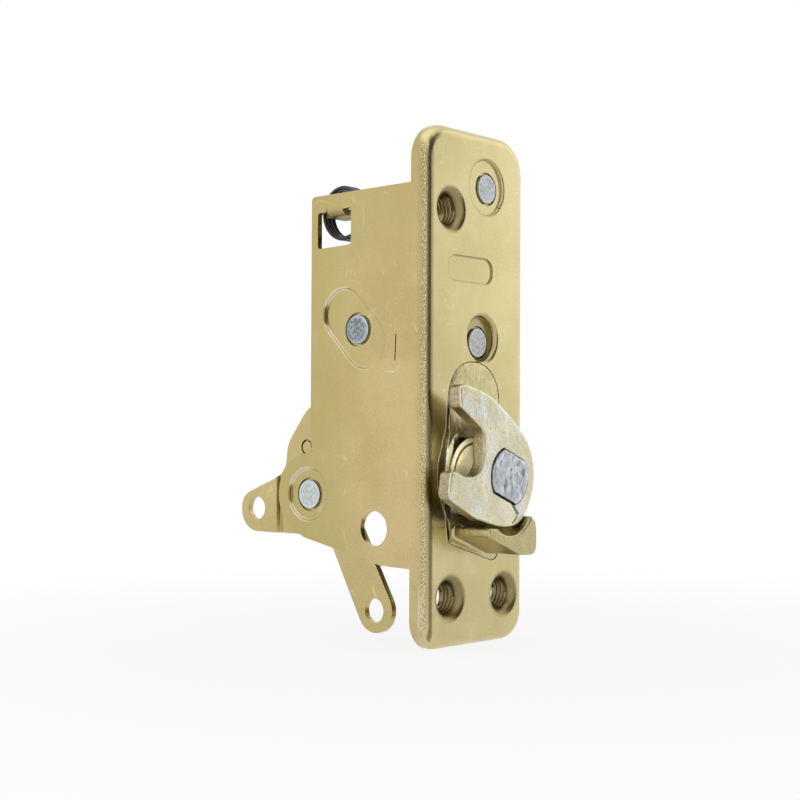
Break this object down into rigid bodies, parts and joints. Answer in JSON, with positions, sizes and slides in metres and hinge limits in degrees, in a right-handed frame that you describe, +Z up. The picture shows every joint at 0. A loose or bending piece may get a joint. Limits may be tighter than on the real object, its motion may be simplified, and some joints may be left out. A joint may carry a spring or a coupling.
{
  "type": "car door lock",
  "caption": "Sheet metal door lock with a folded faceplate and side wing, a turning hooked claw over a fixed anvil, riveted levers with rod holes and a return spring.",
  "frame": {"origin": "middle of the faceplate's front face", "axes": "+Y into the door, -Y out of the faceplate towards the striker, +Z up, -X on the side of the wing"},
  "size_m": [0.0445, 0.0773, 0.1316],
  "materials": {
    "case_zinc": "yellow passivated zinc plated steel, satin, fine handling scratches",
    "casting_zinc": "yellow passivated zinc plated casting with rough edges",
    "claw_zinc": "pale mottled yellow and grey zinc on a forged steel plate",
    "lever_zinc": "yellow passivated zinc plated steel sheet",
    "rivet_steel": "bright zinc plated steel, hammered ends",
    "inner_steel": "plain oiled steel",
    "bush_bronze": "sintered bronze",
    "spring_black": "black oiled spring wire, glossy"
  },
  "bodies": {
    "lock_case": {"case": "case_zinc", "anvil_housing": "casting_zinc", "rotor_bush": "bush_bronze", "claw_stop": "inner_steel", "pawl_pin": "rivet_steel", "pawl_sleeve": "inner_steel", "back_sleeve": "inner_steel", "back_plate": "lever_zinc", "upper_rivet": "rivet_steel", "upper_sleeve": "inner_steel", "release_pin": "rivet_steel", "release_washer": "inner_steel", "crank_pin": "rivet_steel", "crank_washer": "inner_steel", "return_spring": "spring_black"},
    "claw_rotor": {"claw": "claw_zinc", "rotor_shaft": "rivet_steel", "ratchet": "inner_steel", "rotor_clip": "inner_steel", "rotor_spring": "spring_black"},
    "pawl_body": {"pawl": "inner_steel", "pawl_spring": "spring_black"},
    "release": {"release_lever": "lever_zinc"},
    "crank": {"ear_lever": "lever_zinc", "lower_lever": "lever_zinc", "lever_rivet": "rivet_steel"}
  },
  "joints": [
    {"name": "claw_turn", "type": "hinge", "parent": "lock_case", "child": "claw_rotor", "pos_m": [0.001, 0, -0.0228], "axis": [0, 1, 0], "range_deg": [0, 75]},
    {"name": "crank_turn", "type": "hinge", "parent": "lock_case", "child": "crank", "pos_m": [-0.017, 0.0393, -0.028], "axis": [1, 0, 0], "range_deg": [0, 12]},
    {"name": "release_turn", "type": "hinge", "parent": "lock_case", "child": "release", "pos_m": [-0.017, 0.0226, 0.0145], "axis": [1, 0, 0], "range_deg": [-13, 0]},
    {"name": "pawl_lift", "type": "hinge", "parent": "lock_case", "child": "pawl_body", "pos_m": [0.0028, 0.01, 0.0115], "axis": [0, 1, 0], "range_deg": [0, 9.5]}
  ],
  "couplings": [
    {"joint": "release_turn", "follows": "crank_turn", "ratio": -1.07},
    {"joint": "pawl_lift", "follows": "crank_turn", "ratio": 0.78}
  ]
}
